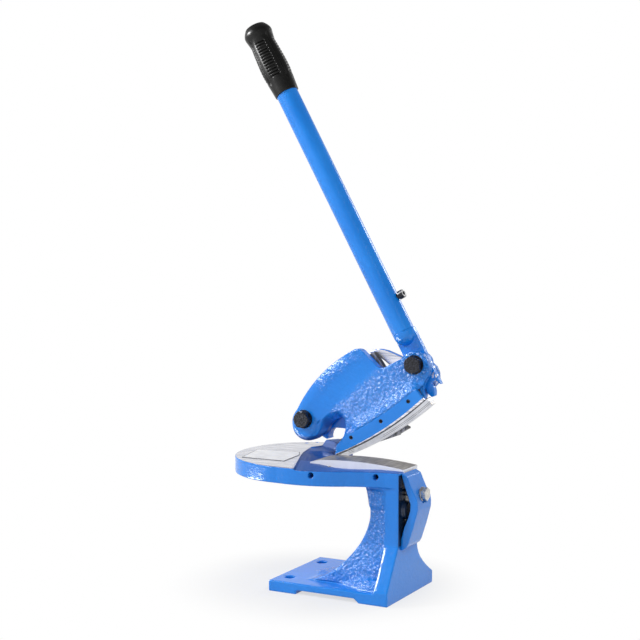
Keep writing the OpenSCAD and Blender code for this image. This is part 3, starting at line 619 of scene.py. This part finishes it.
def arm_shape(co, mesh):
    """The web sweeps forward to the flange, its crest is worn round, and the hook's face falls back."""
    web_back, hook_back, hook_depth, hook_front_gap = 46, 57, 22.5, 0.5
    soft_back, soft_share, rounds = 56, 0.8, 5
    u, v = arm_frame(co)
    y = co[:, 1] / MM
    lift, fall = sweep_lift(u, v), hump_fall(u, v)
    in_flange = y <= WEB_Y0
    front = np.where(in_flange, FLANGE_Y0 + (y - FLANGE_Y0) * (1 - lift / (WEB_Y0 - FLANGE_Y0)),
                     y + (fall - lift) * np.clip((web_back - y) / (web_back - WEB_Y0), 0, 1))
    front = np.where(in_flange & (lift <= 0), y + fall, front)
    y = np.where(y < web_back, front, y)
    slide = hook_slide(u, v) * np.clip((hook_back - y) / hook_depth, 0, 1)
    on_hook = inside(HOOK_FACE, u, v) & (y > WEB_Y0 - hook_front_gap)
    y = np.where(on_hook, np.maximum(y + slide, WEB_Y0), y)
    co[:, 1] = y * MM
    near_hook = (np.hypot(u - HOOK_C[0], v - HOOK_C[1]) < HOOK_R) & (y < soft_back)
    return soften(mesh, co, near_hook * soft_share, rounds)


def revolved(name, rings, place):
    """A closed mesh from rings of (height, radii round the axis); place turns them into scene points."""
    sharp_from = 48
    count = len(rings[0][1])
    turn = np.arange(count) * 2 * math.pi / count
    verts = [place(h, r * math.cos(a), r * math.sin(a)) for h, radii in rings for r, a in zip(radii, turn)]
    faces = []
    for ring in range(len(rings) - 1):
        start = ring * count
        for i in range(count):
            after = (i + 1) % count
            faces.append((start + i, start + after, start + count + after, start + count + i))
    last = (len(rings) - 1) * count
    faces += [tuple(range(count - 1, -1, -1)), tuple(range(last, last + count))]
    mesh = bpy.data.meshes.new(name)
    mesh.from_pydata(verts, [], faces)
    edit_mesh(mesh, lambda bm: bmesh.ops.recalc_face_normals(bm, faces=bm.faces))
    for p in mesh.polygons:
        p.use_smooth = True
    mesh.set_sharp_from_angle(angle=math.radians(sharp_from))
    return new_object(name, mesh)


def grip_sleeve():
    """Moulded grip: four ribbed panels with smooth lands between them, each land with one long groove."""
    count, first_ring, ring_gap, blur, axis_r = 192, 0.4, 0.55, 2, 1.0
    mouth_r, end_rings = 18.2, ((GRIP_L - 0.1, 14.6), (GRIP_L, 11.0), (GRIP_L, axis_r))
    quarter, panel_turn, panel_fade, panel_h, panel_sink = 90, 15, (26, 17), ((22, 27), (93, 88)), 0.35
    rib_depth, rib_w, rib_pitch, first_rib, rib_h0, rib_h1 = 2.0, 1.05, 4.8, 28.5, 26, 89
    groove_depth, groove_w, groove_h = 1.9, 4.5, ((14, 24), (99, 90))
    turn = np.degrees(np.arange(count) * 2 * math.pi / count)
    from_panel = np.abs((turn - panel_turn + quarter / 2) % quarter - quarter / 2)
    panel = smoothstep(from_panel, *panel_fade)
    land = np.exp(-((from_panel - quarter / 2) / groove_w) ** 2)

    def ring(h, r):
        return h, np.full(count, r)

    rings = [ring(TUBE_HOLE_L, axis_r), ring(TUBE_HOLE_L, TUBE_HOLE_R), ring(0.0, TUBE_HOLE_R),
             ring(0.0, mouth_r)]
    for h in np.arange(first_ring, GRIP_L, ring_gap):
        r = np.interp([h - blur, h, h + blur], GRIP_OUTLINE[:, 0], GRIP_OUTLINE[:, 1]).mean()
        from_rib = (h - first_rib + rib_pitch / 2) % rib_pitch - rib_pitch / 2
        rib = np.exp(-(from_rib / rib_w) ** 2) if rib_h0 < h < rib_h1 else 0.0
        in_panel, in_groove = band(h, *panel_h), band(h, *groove_h)
        sink = panel * in_panel * (rib_depth * rib + panel_sink) + groove_depth * land * in_groove
        rings.append((h, r - sink))
    rings += [ring(h, r) for h, r in end_rings]
    c, s = math.cos(LEVER_LEAN), math.sin(LEVER_LEAN)

    def place(h, front, right):
        along = GRIP_R0 + h
        return ((LEVER_PIVOT[0] + along * c + right * s) * MM, (LEVER_Y - front) * MM,
                (LEVER_PIVOT[1] + along * s - right * c) * MM)
    return revolved("grip_sleeve", rings, place)


# Pieces

def dress(obj, body, slot, material, *replaced):
    obj.data.materials.clear()
    obj.data.materials.append(material)
    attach(obj, body)
    if replaced:
        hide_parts(*replaced)


def paint_nodes(material, *names):
    for name in names:
        mesh = nodes[name].data
        mesh.materials.clear()
        mesh.materials.append(material)


def castings_and_grip():
    frame_skin = cast_skin("frame", "frame_casting", voxel=1.1, rounds=4, shape=frame_shape)
    dress(frame_skin, "frame_body", "casting_paint", frame_material(), "frame")
    clamp_skin = cast_skin("blade_clamp", "blade_clamp_casting", voxel=0.8, rounds=4)
    dress(clamp_skin, "frame_body", "casting_paint", clamp_material(), "blade_clamp")
    arm_skin = cast_skin("upper_arm", "upper_arm_casting", voxel=0.9, rounds=5, shape=arm_shape)
    dress(arm_skin, "arm_body", "casting_paint", arm_material(), "upper_arm")
    lever_skin = cast_skin("lever_gear", "lever_gear_casting", voxel=0.7, rounds=3)
    dress(lever_skin, "lever_body", "handle_paint", lever_material(), "lever_gear")
    dress(grip_sleeve(), "lever_body", "rubber", grip_rubber(), "handle_grip")


def cad_pieces():
    zinc = ground_steel("zinc_plate", srgb(222, 220, 214), srgb(180, 178, 172), (1.0, 1.0, 1.0), (0.2, 0.34))
    bronze = ground_steel("bronze", srgb(196, 150, 88), srgb(150, 108, 60), (1.0, 0.05, 1.0))
    paint_nodes(tube_material(), "handle_tube")
    paint_nodes(upper_blade_steel(), "upper_blade")
    paint_nodes(lower_blade_steel(), "lower_blade")
    paint_nodes(gear_steel(), "toothed_segment", "segment_dowels")
    paint_nodes(black_oxide(), "main_pivot_bolt", "main_pivot_washer", "main_pivot_nut",
                "lever_pivot_bolt", "lever_pivot_washer", "lower_blade_set_screws",
                "upper_blade_set_screws", "segment_screws", "tube_lock_screw")
    paint_nodes(zinc, "clamp_bolt", "clamp_washer")
    paint_nodes(bronze, "main_pivot_bush", "lever_pivot_bush")
    paint_nodes(plate_material(), "label_plate")


# Studio

def look_from(place, turn, pitch, lens):
    data = bpy.data.cameras.new("camera")
    data.lens, data.sensor_width = lens, SENSOR_MM
    data.clip_start, data.clip_end = 0.05, 50.0
    cam = new_object("camera", data)
    a, p = math.radians(turn), math.radians(pitch)
    ahead = Vector((-math.sin(a) * math.cos(p), math.cos(a) * math.cos(p), -math.sin(p)))
    cam.location = Vector(place) * MM
    cam.rotation_euler = ahead.to_track_quat("-Z", "Y").to_euler()
    bpy.context.scene.camera = cam


def seen_directly(tree):
    """1 for the rays that see a backdrop itself, 0 for those that gather its light."""
    path = tree.add("ShaderNodeLightPath")
    rays = "Is Camera Ray", "Is Glossy Ray", "Is Transmission Ray"
    return tree.any_of(*(path.outputs[kind] for kind in rays))


def shader_mix(tree, fac, a, b):
    node = tree.add("ShaderNodeMixShader")
    for i, value in enumerate((fac, a, b)):
        tree.put(node.inputs[i], value)
    return node.outputs[0]


def white_floor():
    """White backdrop floor that takes a soft shadow under the part only."""
    shadow_centre_x, shadow_r, white_r, least_white = 0.03, 0.10, 0.25, 0.66
    bpy.ops.mesh.primitive_plane_add(size=12.0, location=(0, 0, 0))
    floor = bpy.context.object
    floor.name = "studio_floor"
    n = Nodes("floor_white")
    n.finish(Base_Color=(0.66, 0.66, 0.67, 1.0), Roughness=0.9, Specular_IOR_Level=0.2)
    white = n.add("ShaderNodeEmission", Color=WHITE, Strength=1.0)
    far = n.length(n.minus(n.x, shadow_centre_x), n.y)
    share = n.plus(least_white, n.times(n.step(far, shadow_r, white_r), 1 - least_white))
    surface = shader_mix(n, n.times(share, seen_directly(n)), n.bsdf.outputs[0], white.outputs[0])
    n.put(n.tree.nodes["Material Output"].inputs["Surface"], surface)
    floor.data.materials.append(n.mat)


def white_world():
    """Even light, and a white backdrop that turns to a darker ceiling in reflections."""
    even_light, horizon, ceiling, ceiling_light = 0.46, 0.12, 0.6, 0.3
    world = bpy.data.worlds.new("studio")
    bpy.context.scene.world = world
    world.use_nodes = True
    w = Tree(world.node_tree)
    plain = w.tree.nodes["Background"]
    w.put(plain.inputs["Color"], WHITE)
    w.put(plain.inputs["Strength"], even_light)
    way = w.add("ShaderNodeTexCoord").outputs["Generated"]
    height = w.add("ShaderNodeSeparateXYZ", Vector=way).outputs["Z"]
    reflected = w.blend(w.step(height, horizon, ceiling), 1.0, ceiling_light)
    path = w.add("ShaderNodeLightPath")
    backdrop = w.add("ShaderNodeBackground", Color=WHITE,
                     Strength=w.any_of(reflected, path.outputs["Is Camera Ray"]))
    surface = shader_mix(w, seen_directly(w), plain.outputs[0], backdrop.outputs[0])
    w.put(w.tree.nodes["World Output"].inputs["Surface"], surface)


def lamp(name, where, aim_z, size, power, diffuse=True, glossy=True):
    """A rectangular lamp aimed at a height above the origin; diffuse and glossy say which rays see it."""
    data = bpy.data.lights.new(name, "AREA")
    data.shape, data.size, data.size_y, data.energy = "RECTANGLE", size[0], size[1], power
    obj = new_object(name, data)
    obj.location = where
    obj.rotation_euler = (Vector((0.0, 0.0, aim_z)) - Vector(where)).to_track_quat("-Z", "Y").to_euler()
    obj.visible_diffuse = diffuse
    obj.visible_glossy = glossy


look_from(CAMERA_PLACE, CAMERA_TURN, CAMERA_PITCH, FOCAL_PX / PHOTO_PX * SENSOR_MM)
castings_and_grip()
cad_pieces()
white_floor()
white_world()
lamp("key_box", (-1.37, -0.83, 1.21), 0.3, (0.36, 0.36), 24)
lamp("key_gloss", (-1.40, -0.85, 1.24), 0.3, (0.9, 0.6), 50, diffuse=False)
lamp("front_box", (1.5, -1.15, 1.6), 0.3, (0.8, 0.8), 14, glossy=False)
lamp("low_strip", (-0.50, -0.26, 0.02), 0.25, (0.3, 0.04), 1.6, diffuse=False)
lamp("rim_box", (0.75, 1.7, 1.2), 0.35, (0.6, 0.6), 9)

scene = bpy.context.scene
scene.view_settings.view_transform = "Standard"
